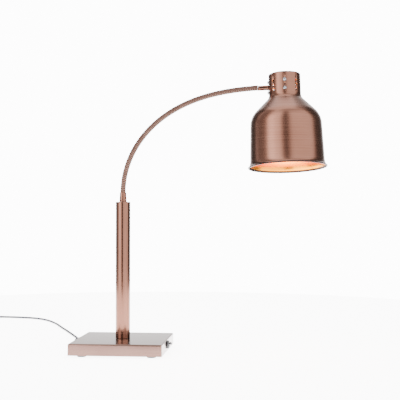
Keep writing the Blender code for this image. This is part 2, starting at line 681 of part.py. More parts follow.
def build_tie():
    """A flat loop round the coil's section on its far side from the lead."""
    angle = math.radians(35)
    half_width = 1.8 * MM
    middle = (COIL_INNER + COIL_OUTER) / 2
    low = FLOOR
    high = FLOOR + COIL_HEIGHT + 1.3 * MM
    inner_half = (COIL_OUTER - COIL_INNER) / 2 + GAP
    outer_half = inner_half + 1 * MM
    outline = [
        (-inner_half, low), (-inner_half, high - 1 * MM), (inner_half, high - 1 * MM), (inner_half, low),
        (outer_half, low), (outer_half, high), (-outer_half, high), (-outer_half, low),
    ]
    bm = bmesh.new()
    rings = [[bm.verts.new((middle + x, y, z)) for x, z in outline] for y in (-half_width, half_width)]
    skin_rings(bm, rings)
    place = Matrix.Translation(COIL_CENTRE) @ Matrix.Rotation(angle, 4, "Z")
    add_object("cable_tie", bm, BLACK, 0.5, 0.0, place)


def build_plug():
    """A moulded two-pin mains plug lying on its side; its lead enters along +Y."""
    centre_height = 5.5 * MM
    bm = turned(
        [
            (0, 0), (4.4 * MM, 0), (5.6 * MM, 16 * MM), (10 * MM, 20 * MM), (15 * MM, 25 * MM),
            (16.5 * MM, 44 * MM), (18.5 * MM, 46 * MM), (18.5 * MM, 56 * MM), (0, 56 * MM),
        ],
        20,
    )
    for vert in bm.verts:
        vert.co.y = max(-(centre_height + FOOT_DROP), min(centre_height + FOOT_DROP, vert.co.y))
    aim = Matrix.Translation(PLUG_START) @ Matrix.Rotation(math.radians(-90), 4, "X")
    plug = add_object("mains_plug", bm, BLACK, 0.5, 0.0, aim)
    pins = []
    for side, sign in (("left", -1), ("right", 1)):
        pin = drill("plug_pin_" + side, 2.4 * MM, 22 * MM, (0, 0, 0), (0, 0, 1), 12)
        pin.matrix_world = aim @ Matrix.Translation((sign * 9.5 * MM, 0, 64 * MM))
        pins.append(pin)
    fuse(plug, pins)


def main():
    clear_scene()
    build_base()
    build_column()
    build_gooseneck()
    place = head_matrix()
    build_shade(place)
    build_head_fixings(place)
    build_socket(place)
    build_bulb(place)
    build_switch()
    build_wiring()
    build_mains_lead()
    bpy.context.view_layer.update()


main()
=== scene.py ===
"""Looks of the heat lamp warmer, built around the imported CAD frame."""
import math

import bmesh
import bpy
from mathutils import Matrix, Vector


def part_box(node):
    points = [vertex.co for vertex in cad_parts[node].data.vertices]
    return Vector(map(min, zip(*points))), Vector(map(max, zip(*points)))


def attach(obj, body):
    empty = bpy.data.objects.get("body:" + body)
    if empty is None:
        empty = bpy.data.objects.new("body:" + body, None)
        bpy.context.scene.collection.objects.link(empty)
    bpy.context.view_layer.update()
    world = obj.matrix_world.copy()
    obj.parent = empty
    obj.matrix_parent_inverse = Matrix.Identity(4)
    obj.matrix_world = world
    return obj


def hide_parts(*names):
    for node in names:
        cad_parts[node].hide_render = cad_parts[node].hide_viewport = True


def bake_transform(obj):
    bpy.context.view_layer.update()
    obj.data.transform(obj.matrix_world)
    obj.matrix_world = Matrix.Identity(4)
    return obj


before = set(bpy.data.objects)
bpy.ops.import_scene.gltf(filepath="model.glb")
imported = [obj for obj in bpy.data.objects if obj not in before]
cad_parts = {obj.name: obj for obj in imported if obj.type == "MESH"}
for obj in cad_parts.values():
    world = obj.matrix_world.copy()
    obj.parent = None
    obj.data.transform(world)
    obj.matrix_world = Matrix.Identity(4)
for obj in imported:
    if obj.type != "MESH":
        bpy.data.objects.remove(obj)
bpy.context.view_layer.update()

MM = 0.001
FLOOR_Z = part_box("foot_front_left")[0][2]
COVER_LOW, COVER_HIGH = (Vector(corner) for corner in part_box("base_cover"))
BASE_HALF = COVER_HIGH.x
BASE_TOP = COVER_HIGH.z
COLUMN_LOW, COLUMN_HIGH = (Vector(corner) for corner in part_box("column_tube"))
COLUMN_RADIUS = COLUMN_HIGH.x
COLUMN_TOP = COLUMN_HIGH.z

# The gooseneck's centre line, as part.py draws it
NECK_LENGTH = 416.1 * MM
NECK_FOOT = Vector((0.0, 0.0, COLUMN_TOP + 21 * MM))
NECK_START_ANGLE = math.radians(90.0)
NECK_TURN = (math.radians(129.15), math.radians(-20.0), math.radians(-22.7))
NECK_JOINTS = 10
NECK_SUNK = 14 * MM
RIB_PITCH = 3.9 * MM
RIB_CREST = 6.1 * MM
RIB_GROOVE = 4.9 * MM

# The head's frame: z is the height above the rim, and the arm enters at ENTRY_HEIGHT
HEAD_ENTRY = Vector((356.2 * MM, 0.0, 574.7 * MM))
ENTRY_HEIGHT = 178 * MM
HEAD = (
    Matrix.Translation(HEAD_ENTRY)
    @ Matrix.Rotation(math.radians(-4.9), 4, "X")
    @ Matrix.Rotation(math.radians(-1.9), 4, "Y")
    @ Matrix.Translation((0, 0, -ENTRY_HEIGHT))
)
SHADE_NECK_RADIUS = 34.7 * MM
SHADE_TOP = 206 * MM
SHADE_WALL = 1.2 * MM
VENT_RADIUS = 2 * MM
VENT_PITCH = 9.3 * MM
SIDE_SCREW_PITCH = 11.5 * MM
VENT_COLUMNS = 8
UPPER_FERRULE = 23.4 * MM

SWITCH_Y = -13 * MM
SWITCH_HEIGHT = 14.2 * MM
LEVER_PIVOT = Vector((99.2 * MM, SWITCH_Y, SWITCH_HEIGHT))
LEVER_ANGLE = math.radians(14)

CORD_DIAMETER = 6 * MM
CORD_RADIUS = CORD_DIAMETER / 2
CORD_FLOOR = FLOOR_Z + CORD_RADIUS
CORD_ROUTE = [
    (-0.1108, 0.0850, 0.0120), (-0.1140, 0.0850, 0.0120), (-0.1245, 0.0895, 0.0085),
    (-0.1300, 0.0995, 0.0035), (-0.1322, 0.1120, 0.0000), (-0.1340, 0.1310, CORD_FLOOR),
    (-0.1390, 0.1610, CORD_FLOOR), (-0.1485, 0.1900, CORD_FLOOR), (-0.161, 0.220, CORD_FLOOR),
    (-0.176, 0.254, CORD_FLOOR), (-0.192, 0.290, CORD_FLOOR), (-0.209, 0.328, CORD_FLOOR),
    (-0.229, 0.371, CORD_FLOOR), (-0.248, 0.414, CORD_FLOOR), (-0.267, 0.456, CORD_FLOOR),
    (-0.285, 0.491, CORD_FLOOR), (-0.301, 0.519, CORD_FLOOR), (-0.318, 0.544, CORD_FLOOR),
    (-0.336, 0.566, CORD_FLOOR), (-0.357, 0.585, CORD_FLOOR), (-0.384, 0.600, CORD_FLOOR),
    (-0.418, 0.6105, CORD_FLOOR), (-0.455, 0.6165, CORD_FLOOR), (-0.495, 0.6195, CORD_FLOOR),
    (-0.5215, 0.6195, CORD_FLOOR),
]
TAIL_ROUTE = [
    (-0.5959, 0.6640, 0.0035), (-0.5962, 0.6720, 0.0030), (-0.5968, 0.6850, 0.0040),
    (-0.5970, 0.6940, 0.0054), (-0.5970, 0.7040, 0.0055),
]
COIL_CENTRE = Vector((-0.550, 0.6625, 0.0))
COIL_TURN_RADII = (39.3 * MM, 32.6 * MM)
PLUG_START = Vector((-0.5970, 0.7043, 0.0055))


# ---------------------------------------------------------------- mesh helpers

def new_object(name, bm, material, matrix=None, sharp=40):
    """A mesh object from a bmesh, smooth except at edges over the sharp angle."""
    bmesh.ops.recalc_face_normals(bm, faces=bm.faces)
    if matrix is not None:
        bm.transform(matrix)
    mesh = bpy.data.meshes.new(name)
    bm.to_mesh(mesh)
    bm.free()
    mesh.shade_smooth()
    mesh.set_sharp_from_angle(angle=math.radians(sharp))
    for item in material if isinstance(material, list) else [material]:
        mesh.materials.append(item)
    piece = bpy.data.objects.new(name, mesh)
    bpy.context.scene.collection.objects.link(piece)
    return piece


def skin_rings(bm, rings, loop=False):
    """Join rings into a skin, closed at both ends or round in a loop; one vertex is a pole."""
    pairs = list(zip(rings, rings[1:]))
    if loop:
        pairs.append((rings[-1], rings[0]))
    for low, high in pairs:
        count = max(len(low), len(high))
        for i in range(count):
            j = (i + 1) % count
            corners = [low[i % len(low)], low[j % len(low)], high[j % len(high)], high[i % len(high)]]
            unique = []
            for corner in corners:
                if corner not in unique:
                    unique.append(corner)
            bm.faces.new(unique)
    if not loop:
        for end in (rings[0], rings[-1]):
            if len(end) > 2:
                bm.faces.new(end)


def turned(profile, sides=64, loop=False):
    bm = bmesh.new()
    rings = []
    for radius, height in profile:
        if radius == 0:
            rings.append([bm.verts.new((0, 0, height))])
            continue
        ring = []
        for k in range(sides):
            angle = 2 * math.pi * k / sides
            ring.append(bm.verts.new((radius * math.cos(angle), radius * math.sin(angle), height)))
        rings.append(ring)
    skin_rings(bm, rings, loop)
    return bm


def arc(centre, radius, start, end, steps):
    """Points on an arc, with angles in degrees."""
    points = []
    for k in range(steps + 1):
        angle = math.radians(start + (end - start) * k / steps)
        points.append((centre[0] + radius * math.cos(angle), centre[1] + radius * math.sin(angle)))
    return points


def rounded_profile(points, radius, steps=4, loop=True):
    """Round a profile's corners with small arcs."""
    result = []
    count = len(points)
    for k, point in enumerate(points):
        here = Vector(point)
        if not loop and k in (0, count - 1):
            result.append(tuple(here))
            continue
        before = Vector(points[k - 1]) - here
        after = Vector(points[(k + 1) % count]) - here
        reach = min(radius, before.length * 0.45, after.length * 0.45)
        start = here + before.normalized() * reach
        end = here + after.normalized() * reach
        for step in range(steps + 1):
            t = step / steps
            result.append(tuple(start * (1 - t) ** 2 + here * 2 * t * (1 - t) + end * t**2))
    return result


def along(start, direction):
    turn = Vector(direction).to_track_quat("Z", "Y").to_matrix().to_4x4()
    return Matrix.Translation(Vector(start)) @ turn


def rounded_square(half, corner, height, steps=8):
    points = []
    for quadrant in range(4):
        for k in range(steps + 1):
            angle = math.pi / 2 * (quadrant + k / steps)
            sign_x = 1 if quadrant in (0, 3) else -1
            sign_y = 1 if quadrant in (0, 1) else -1
            x = sign_x * (half - corner) + corner * math.cos(angle)
            y = sign_y * (half - corner) + corner * math.sin(angle)
            points.append((x, y, height))
    return points


def carve(piece, cutters):
    """Apply Boolean cuts to a piece and remove the cutters."""
    for cutter in cutters:
        modifier = piece.modifiers.new("Cut", "BOOLEAN")
        modifier.operation = "DIFFERENCE"
        modifier.solver = "EXACT"
        modifier.object = cutter
    graph = bpy.context.evaluated_depsgraph_get()
    mesh = bpy.data.meshes.new_from_object(piece.evaluated_get(graph))
    piece.modifiers.clear()
    piece.data = mesh
    for cutter in cutters:
        bpy.data.objects.remove(cutter, do_unlink=True)


def smooth_curve(points, spacing):
    """Points about spacing apart on a Catmull-Rom curve through the given points."""
    knots = [Vector(p) for p in points]
    knots = [knots[0] * 2 - knots[1]] + knots + [knots[-1] * 2 - knots[-2]]
    dense = []
    for a, b, c, d in zip(knots, knots[1:], knots[2:], knots[3:]):
        for k in range(20):
            t = k / 20
            dense.append(
                0.5 * ((2 * b) + (c - a) * t + (2 * a - 5 * b + 4 * c - d) * t**2
                       + (3 * b - a - 3 * c + d) * t**3)
            )
    dense.append(knots[-2])
    result = [dense[0]]
    for point in dense[1:]:
        if (point - result[-1]).length >= spacing:
            result.append(point)
    result[-1] = dense[-1]
    return result


# ---------------------------------------------------------------- materials

def start_material(name):
    material = bpy.data.materials.new(name)
    material.use_nodes = True
    nodes = material.node_tree.nodes
    return material, nodes, material.node_tree.links, nodes["Principled BSDF"]


def stretched_noise(nodes, links, scale, detail=4.0, source="Object"):
    """A noise whose cells are stretched by a scale vector, such as brush lines."""
    coordinates = nodes.new("ShaderNodeTexCoord")
    mapping = nodes.new("ShaderNodeMapping")
    mapping.inputs["Scale"].default_value = scale
    noise = nodes.new("ShaderNodeTexNoise")
    noise.inputs["Scale"].default_value = 1.0
    noise.inputs["Detail"].default_value = detail
    links.new(coordinates.outputs[source], mapping.inputs["Vector"])
    links.new(mapping.outputs["Vector"], noise.inputs["Vector"])
    return noise


def ramp(nodes, links, source, stops):
    node = nodes.new("ShaderNodeValToRGB")
    elements = node.color_ramp.elements
    for k, (place, colour) in enumerate(stops):
        element = elements[k] if k < 2 else elements.new(place)
        element.position = place
        element.color = (*colour, 1.0)
    links.new(source, node.inputs["Fac"])
    return node


def value_range(nodes, links, source, low, high):
    node = nodes.new("ShaderNodeMapRange")
    node.inputs["To Min"].default_value = low
    node.inputs["To Max"].default_value = high
    links.new(source, node.inputs["Value"])
    return node


def add_bump(nodes, links, shader, source, strength, distance):
    bump = nodes.new("ShaderNodeBump")
    bump.inputs["Strength"].default_value = strength
    bump.inputs["Distance"].default_value = distance
    links.new(source, bump.inputs["Height"])
    links.new(bump.outputs["Normal"], shader.inputs["Normal"])


def brushed_metal(name, dark, light, lines, roughness, anisotropy, bump=0.12):
    """Brushed plated metal: lines is the scale of the brush marks along X, Y and Z."""
    material, nodes, links, shader = start_material(name)
    shader.inputs["Metallic"].default_value = 1.0
    shader.inputs["Anisotropic"].default_value = anisotropy
    brush = stretched_noise(nodes, links, lines)
    cloud = stretched_noise(nodes, links, (14, 14, 14), 2.0)
    mix = nodes.new("ShaderNodeMath")
    mix.operation = "MULTIPLY_ADD"
    mix.inputs[1].default_value = 0.7
    links.new(brush.outputs["Fac"], mix.inputs[0])
    tone = value_range(nodes, links, cloud.outputs["Fac"], 0.0, 0.3)
    links.new(tone.outputs["Result"], mix.inputs[2])
    colour = ramp(nodes, links, mix.outputs["Value"], [(0.25, dark), (0.75, light)])
    links.new(colour.outputs["Color"], shader.inputs["Base Color"])
    rough = value_range(nodes, links, brush.outputs["Fac"], roughness - 0.05, roughness + 0.07)
    links.new(rough.outputs["Result"], shader.inputs["Roughness"])
    add_bump(nodes, links, shader, brush.outputs["Fac"], bump, 0.0002)
    return material


def speckled(name, dark, light, scale, roughness, metallic=0.0, bump=0.2, coat=0.0):
    """A moulded, cast or plated surface with a fine grain and slow colour change."""
    material, nodes, links, shader = start_material(name)
    shader.inputs["Metallic"].default_value = metallic
    shader.inputs["Coat Weight"].default_value = coat
    grain = stretched_noise(nodes, links, (scale, scale, scale), 3.0)
    colour = ramp(nodes, links, grain.outputs["Fac"], [(0.3, dark), (0.7, light)])
    links.new(colour.outputs["Color"], shader.inputs["Base Color"])
    rough = value_range(nodes, links, grain.outputs["Fac"], roughness - 0.06, roughness + 0.08)
    links.new(rough.outputs["Result"], shader.inputs["Roughness"])
    add_bump(nodes, links, shader, grain.outputs["Fac"], bump, 0.0002)
    return material


BULB_GLOW = 16.0
COPPER_DARK = (0.105, 0.044, 0.029)
COPPER_LIGHT = (0.170, 0.083, 0.060)


def glass_material(name):
    """Frosted, lit bulb glass, with an even warm glow."""
    material, nodes, links, shader = start_material(name)
    shader.inputs["Roughness"].default_value = 0.25
    frost = stretched_noise(nodes, links, (260, 260, 260), 3.0)
    colour = ramp(nodes, links, frost.outputs["Fac"], [(0.3, (1.0, 0.62, 0.20)), (0.7, (1.0, 0.70, 0.28))])
    links.new(colour.outputs["Color"], shader.inputs["Base Color"])
    links.new(colour.outputs["Color"], shader.inputs["Emission Color"])
    shader.inputs["Emission Strength"].default_value = BULB_GLOW
    return material


def make_materials():
    """Every material once, by a short key."""
    return {
        "spun": brushed_metal("brushed_copper_spun", COPPER_DARK, COPPER_LIGHT, (6, 6, 1500), 0.24, 0.3),
        "column": brushed_metal("brushed_copper_column", COPPER_DARK, COPPER_LIGHT, (900, 900, 5), 0.17, 0.2),
        "base": brushed_metal("brushed_copper_base", (0.095, 0.052, 0.042), (0.150, 0.090, 0.074), (5, 1400, 1400), 0.18, 0.2),
        "hose": brushed_metal("coppered_hose", (0.050, 0.027, 0.021), (0.095, 0.056, 0.044), (60, 60, 60), 0.26, 0.0, 0.03),
        "gold": brushed_metal("gold_reflector", (0.62, 0.20, 0.004), (0.80, 0.30, 0.010), (6, 6, 900), 0.24, 0.0),
        "zinc": speckled("zinc_plate", (0.16, 0.16, 0.175), (0.27, 0.27, 0.29), 700, 0.28, 1.0, 0.1),
        "brass": speckled("turned_brass", (0.60, 0.42, 0.18), (0.78, 0.58, 0.28), 500, 0.32, 1.0, 0.1),
        "painted": speckled("black_paint", (0.010, 0.010, 0.011), (0.028, 0.028, 0.030), 900, 0.5, 0.0, 0.3),
        "rubber": speckled("foot_rubber", (0.010, 0.010, 0.011), (0.024, 0.024, 0.026), 1100, 0.72, 0.0, 0.4),
        "cord": speckled("cord_jacket", (0.003, 0.0035, 0.009), (0.007, 0.008, 0.018), 800, 0.42, 0.0, 0.25),
        "plastic": speckled("black_plastic", (0.012, 0.012, 0.014), (0.030, 0.030, 0.034), 1300, 0.40, 0.0, 0.25),
        "nub": speckled("grey_plastic", (0.035, 0.034, 0.038), (0.060, 0.058, 0.065), 1200, 0.38, 0.0, 0.2),
        "wire": speckled("brown_wire", (0.16, 0.07, 0.03), (0.26, 0.12, 0.05), 900, 0.45, 0.0, 0.2),
        "ceramic": speckled("glazed_ceramic", (0.78, 0.77, 0.72), (0.88, 0.87, 0.83), 300, 0.22, 0.0, 0.08, 0.4),
        # The rolled rim's near-black metal is painted shade, standing in for the shade seen under the lip.
        "rim": speckled("rim_painted_shade", (0.020, 0.010, 0.008), (0.040, 0.020, 0.016), 600, 0.30, 1.0, 0.1),
        "glass": glass_material("lit_bulb_glass"),
    }


MATERIAL = make_materials()


def finish_piece(piece, body, slot, *nodes):
    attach(piece, body)
    if nodes:
        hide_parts(*nodes)
    return piece


# ---------------------------------------------------------------- camera, stage, light

FLOOR_RADIUS = 1.25
FLOOR_CENTRE = (0.0, 0.35)
FLOOR_GLOW = 8.2
BACKDROP_LIGHT = 13.0
STUDIO_LIGHT = 8.0
OVERHEAD_LEVEL = 0.28
# Azimuth in degrees from -Y towards +X, and brightness, of the panels round the object
PANELS = [
    (-180, 0.30), (-158, 0.30), (-146, 0.02), (-118, 0.02), (-108, 0.35), (-98, 0.10), (-68, 0.14), (-60, 0.85),
    (-22, 0.85), (-11, 0.03), (5, 0.03), (16, 0.62), (90, 0.58), (100, 0.03), (146, 0.03), (158, 0.30), (180, 0.30),
]


def build_stage():
    """A finite pale floor, so that low reflections pass its edge and meet the studio's panels."""
    bm = bmesh.new()
    bmesh.ops.create_circle(bm, cap_ends=True, segments=96, radius=FLOOR_RADIUS)
    bmesh.ops.translate(bm, verts=bm.verts, vec=(FLOOR_CENTRE[0], FLOOR_CENTRE[1], FLOOR_Z - 0.2 * MM))
    material, nodes, links, shader = start_material("studio_floor")
    grain = stretched_noise(nodes, links, (3, 3, 3), 2.0)
    colour = ramp(nodes, links, grain.outputs["Fac"], [(0.3, (0.93, 0.93, 0.935)), (0.7, (0.95, 0.95, 0.95))])
    links.new(colour.outputs["Color"], shader.inputs["Base Color"])
    shader.inputs["Roughness"].default_value = 0.9
    shader.inputs["Specular IOR Level"].default_value = 0.1
    shader.inputs["Emission Color"].default_value = (1.0, 1.0, 1.0, 1.0)
    shader.inputs["Emission Strength"].default_value = FLOOR_GLOW
    floor = new_object("studio_floor", bm, material)


def add_area(name, place, target, width, height, power, colour=(1, 1, 1)):
    light = bpy.data.lights.new(name, "AREA")
    light.shape = "RECTANGLE"
    light.size = width
    light.size_y = height
    light.energy = power
    light.color = colour
    lamp = bpy.data.objects.new(name, light)
    lamp.location = place
    aim = Vector(target) - Vector(place)
    lamp.rotation_euler = aim.to_track_quat("-Z", "Y").to_euler()
    bpy.context.scene.collection.objects.link(lamp)


def build_light():
    """A white backdrop to the eye, and a ring of dark and bright panels for the metal to mirror."""
    world = bpy.data.worlds.new("studio")
    bpy.context.scene.world = world
    world.use_nodes = True
    nodes = world.node_tree.nodes
    links = world.node_tree.links
    backdrop = nodes["Background"]
    backdrop.inputs["Color"].default_value = (1.0, 1.0, 1.0, 1.0)
    backdrop.inputs["Strength"].default_value = BACKDROP_LIGHT
    coordinates = nodes.new("ShaderNodeTexCoord")
    split = nodes.new("ShaderNodeSeparateXYZ")
    links.new(coordinates.outputs["Generated"], split.inputs["Vector"])
    facing = nodes.new("ShaderNodeMath")
    facing.operation = "MULTIPLY"
    facing.inputs[1].default_value = -1.0
    links.new(split.outputs["Y"], facing.inputs[0])
    azimuth = nodes.new("ShaderNodeMath")
    azimuth.operation = "ARCTAN2"
    links.new(split.outputs["X"], azimuth.inputs[0])
    links.new(facing.outputs["Value"], azimuth.inputs[1])
    turn = nodes.new("ShaderNodeMapRange")
    turn.inputs["From Min"].default_value = -math.pi
    turn.inputs["From Max"].default_value = math.pi
    links.new(azimuth.outputs["Value"], turn.inputs["Value"])
    stops = [((angle + 180) / 360, (level, level * 0.985, level * 0.97)) for angle, level in PANELS]
    panels = ramp(nodes, links, turn.outputs["Result"], stops)
    height = nodes.new("ShaderNodeMapRange")
    height.inputs["From Min"].default_value = 0.72
    height.inputs["From Max"].default_value = 0.95
    links.new(split.outputs["Z"], height.inputs["Value"])
    overhead = nodes.new("ShaderNodeMix")
    overhead.data_type = "RGBA"
    overhead.inputs["B"].default_value = (OVERHEAD_LEVEL, OVERHEAD_LEVEL, OVERHEAD_LEVEL, 1.0)
    links.new(height.outputs["Result"], overhead.inputs["Factor"])
    links.new(panels.outputs["Color"], overhead.inputs["A"])
    studio = nodes.new("ShaderNodeBackground")
    studio.inputs["Strength"].default_value = STUDIO_LIGHT
    links.new(overhead.outputs["Result"], studio.inputs["Color"])
    path = nodes.new("ShaderNodeLightPath")
    choose = nodes.new("ShaderNodeMixShader")
    links.new(path.outputs["Is Camera Ray"], choose.inputs["Fac"])
    links.new(studio.outputs["Background"], choose.inputs[1])
    links.new(backdrop.outputs["Background"], choose.inputs[2])
    links.new(choose.outputs["Shader"], nodes["World Output"].inputs["Surface"])
    target = (0.15, 0, 0.25)
    add_area("key_left", (-1.6, -1.6, 1.3), target, 1.0, 1.6, 14)
    add_area("top", (0.1, 0.2, 2.2), target, 1.6, 1.6, 22)


def build_camera():
    camera = bpy.data.cameras.new("camera")
    camera.sensor_width = 36.0
    camera.lens = 78.75
    holder = bpy.data.objects.new("camera", camera)
    holder.location = (0.350, -1.910, 0.292 + FLOOR_Z)
    holder.rotation_euler = (math.radians(91.25), 0.0, math.radians(5.36))
    bpy.context.scene.collection.objects.link(holder)
    bpy.context.scene.camera = holder


# ---------------------------------------------------------------- base and column

def build_base():
    """The folded cover: a thin square shell, open underneath, with a rounded top edge."""
    wall = 1.5 * MM
    inner = BASE_HALF - wall
    top_round = 3 * MM
    outlines = [
        rounded_square(inner, 0.5 * MM, BASE_TOP - wall),
        rounded_square(inner, 0.5 * MM, 0),
        rounded_square(BASE_HALF - 0.4 * MM, 2 * MM, 0),
        rounded_square(BASE_HALF, 2 * MM, 0.4 * MM),
    ]
    for k in range(9):
        angle = math.pi / 2 * k / 8
        inset = top_round * (1 - math.cos(angle))
        height = BASE_TOP - top_round * (1 - math.sin(angle))
        outlines.append(rounded_square(BASE_HALF - inset, 2 * MM + 0.3 * top_round, height))
    bm = bmesh.new()
    rings = [[bm.verts.new(point) for point in outline] for outline in outlines]
    skin_rings(bm, rings)
    shell = new_object("base_shell", bm, MATERIAL["base"], sharp=35)
    finish_piece(shell, "base", "brushed_copper", "base_cover")


def build_column():
    """The column's tube, and the ferrule on its top that holds the gooseneck."""
    low = COLUMN_LOW.z
    inner = COLUMN_RADIUS - 1.5 * MM
    profile = rounded_profile(
        [(inner, low), (COLUMN_RADIUS, low), (COLUMN_RADIUS, COLUMN_TOP), (inner, COLUMN_TOP)], 0.7 * MM)
    column = new_object("column_shell", turned(profile, 96, loop=True), MATERIAL["column"])
    finish_piece(column, "base", "brushed_copper", "column_tube")

    foot = COLUMN_TOP + 0.3 * MM
    top = COLUMN_TOP + 21 * MM
    bore = RIB_CREST + 0.15 * MM
    profile = [
        (3.2 * MM, foot), (8.15 * MM, foot), (8.15 * MM, foot + 2.2 * MM), (7.6 * MM, foot + 2.8 * MM),
        (7.95 * MM, foot + 3.4 * MM), (7.0 * MM, top), (bore, top), (bore, top - NECK_SUNK - 0.3 * MM),
        (3.2 * MM, top - NECK_SUNK - 0.3 * MM),
    ]
    bm = turned(rounded_profile(profile, 0.4 * MM), 64, loop=True)
    ferrule = new_object("ferrule_lower", bm, MATERIAL["column"])
    finish_piece(ferrule, "base", "brushed_copper", "lower_ferrule")


# ---------------------------------------------------------------- gooseneck

def neck_angle(share):
    first, second, third = NECK_TURN
    return NECK_START_ANGLE - (first * share + second * share**2 + third * share**3)


def neck_table(steps=840):
    """The centre line from NECK_SUNK below its foot to its end: length, point and angle."""
    rows = []
    step = NECK_LENGTH / steps
    point = NECK_FOOT.copy()
    below = round(NECK_SUNK / step)
    for k in range(below, 0, -1):
        rows.append((-k * step, NECK_FOOT - Vector((0, 0, k * step)), NECK_START_ANGLE))
    rows.append((0.0, point.copy(), NECK_START_ANGLE))
    for k in range(steps):
        middle = neck_angle((k + 0.5) / steps)
        point += Vector((math.cos(middle), 0, math.sin(middle))) * step
        rows.append(((k + 1) * step, point.copy(), neck_angle((k + 1) / steps)))
    return rows


NECK_ROWS = neck_table()


def rib_radius(length, angle):
    """A round bead wound as a screw thread along the hose."""
    phase = (length / RIB_PITCH + angle / (2 * math.pi)) % 1.0
    return RIB_GROOVE + (RIB_CREST - RIB_GROOVE) * math.sin(math.pi * phase) ** 0.55


def build_gooseneck():
    """One ribbed piece round each joint, standing in for the gooseneck links that it hides."""
    pitch = NECK_LENGTH / NECK_JOINTS
    sides = 28
    for k in range(NECK_JOINTS):
        start = -NECK_SUNK - 1 * MM if k == 0 else k * pitch
        end = (k + 1) * pitch
        rows = [row for row in NECK_ROWS if start - 1e-6 <= row[0] <= end + 1e-6]
        bm = bmesh.new()
        rings = []
        for length, point, angle in rows:
            across = Vector((0, 1, 0))
            normal = Vector((-math.sin(angle), 0, math.cos(angle)))
            ring = []
            for side in range(sides):
                turn = 2 * math.pi * side / sides
                reach = across * math.cos(turn) + normal * math.sin(turn)
                ring.append(bm.verts.new(point + reach * rib_radius(length, turn)))
            rings.append(ring)
        skin_rings(bm, rings)
        hose = new_object(f"hose_{k}", bm, MATERIAL["hose"], sharp=60)
        nodes = [f"gooseneck_link_{k}"]
        if k == NECK_JOINTS - 1:
            nodes.append(f"gooseneck_link_{NECK_JOINTS}")
        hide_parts(*nodes)
        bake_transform(hose)


# ---------------------------------------------------------------- head

def shade_outline():
    """The bell's outer profile from the rim up: rolled lip, body, shoulder, cone, fillet, neck."""
    bead = arc((83.9 * MM, 1.7 * MM), 1.6 * MM, -120, 80, 8)
    flare = [(82.6 * MM, 5.2 * MM), (81.5 * MM, 8 * MM), (80.7 * MM, 11 * MM), (80.1 * MM, 15 * MM)]
    body = [(79.2 * MM, 42 * MM), (78.3 * MM, 66 * MM)]
    shoulder = arc((32.3 * MM, 92.7 * MM), 45 * MM, 0, 45, 14)
    fillet = arc((52.7 * MM, 161.5 * MM), 18 * MM, 225, 180, 10)
    neck = [(SHADE_NECK_RADIUS, 175 * MM), (SHADE_NECK_RADIUS, SHADE_TOP - 2.5 * MM)]
    crown = arc((SHADE_NECK_RADIUS - 2.5 * MM, SHADE_TOP - 2.5 * MM), 2.5 * MM, 15, 90, 6)
    return bead + flare + body + shoulder + fillet + neck + crown


def build_shade():
    """The bell: copper outside, gold inside, a rolled rim coloured near-black as painted shade, and drilled vents."""
    outer = shade_outline()
    bead_points = 9
    inner = []
    for k, point in enumerate(outer):
        if k < bead_points:
            continue
        before = Vector(outer[k - 1])
        after = Vector(outer[min(k + 1, len(outer) - 1)])
        run = (after - before).normalized()
        inner.append(Vector(point) + Vector((-run.y, run.x)) * SHADE_WALL)
    inner = [(p.x, p.y) for p in inner]
    inner[-1] = (outer[-1][0], SHADE_TOP - SHADE_WALL)
    outside = [(0, SHADE_TOP)] + outer[::-1]
    profile = outside + inner + [(0, SHADE_TOP - SHADE_WALL)]
    bm = turned(profile, 144)
    shade = new_object("bell_shade", bm, [MATERIAL["spun"], MATERIAL["gold"], MATERIAL["rim"]], sharp=35)
    cutters = []
    for column in range(VENT_COLUMNS):
        angle = 2 * math.pi * column / VENT_COLUMNS
        outward = Vector((math.cos(angle), math.sin(angle), 0))
        at_arm = column == VENT_COLUMNS // 2
        pitch = SIDE_SCREW_PITCH if at_arm else VENT_PITCH
        for row in (-1, 0, 1):
            radius = 5.2 * MM if at_arm and row == 0 else VENT_RADIUS
            centre = outward * SHADE_NECK_RADIUS + Vector((0, 0, ENTRY_HEIGHT + row * pitch))
            bm = turned([(radius, -4 * MM), (radius, 4 * MM)], 24)
            cutters.append(new_object(f"cutter_{column}_{row}", bm, MATERIAL["spun"], along(centre, outward)))
    carve(shade, cutters)
    for face in shade.data.polygons:
        centre = face.center
        radius = math.hypot(centre.x, centre.y)
        outward = face.normal.x * centre.x + face.normal.y * centre.y
        inside = outward < -1e-9 and 6 * MM < centre.z < SHADE_TOP
        under_crown = face.normal.z < -0.5 and radius < SHADE_NECK_RADIUS
        # The rolled lip's faces take the near-black rim material: painted shade.
        rolled = centre.z < 4.2 * MM
        face.material_index = 1 if inside or under_crown else 2 if rolled else 0
    shade.data.transform(HEAD)
    finish_piece(shade, "head", "shade_copper", "shade")


def dome_screw(name, node, centre, outward):
    profile = [(0, -7 * MM), (1.6 * MM, -7 * MM), (1.6 * MM, 0), (3.75 * MM, 0), (3.75 * MM, 0.7 * MM)]
    profile += arc((0, -1.15 * MM), 4.2 * MM, 26, 90, 7)[:-1] + [(0, 3.05 * MM)]
    screw = new_object(name, turned(profile, 32), MATERIAL["zinc"], sharp=50)
    cutters = []
    for turn in (0, math.pi / 2):
        bm = bmesh.new()
        bmesh.ops.create_cube(bm, size=1.0)
        bmesh.ops.scale(bm, verts=bm.verts, vec=(3.6 * MM, 0.8 * MM, 2.4 * MM))
        place = Matrix.Translation((0, 0, 3.2 * MM)) @ Matrix.Rotation(turn + 0.3, 4, "Z")
        cutters.append(new_object("slot_cutter", bm, MATERIAL["zinc"], place))
    carve(screw, cutters)
    screw.data.transform(HEAD @ along(centre, outward))
    finish_piece(screw, "head", "zinc", node)


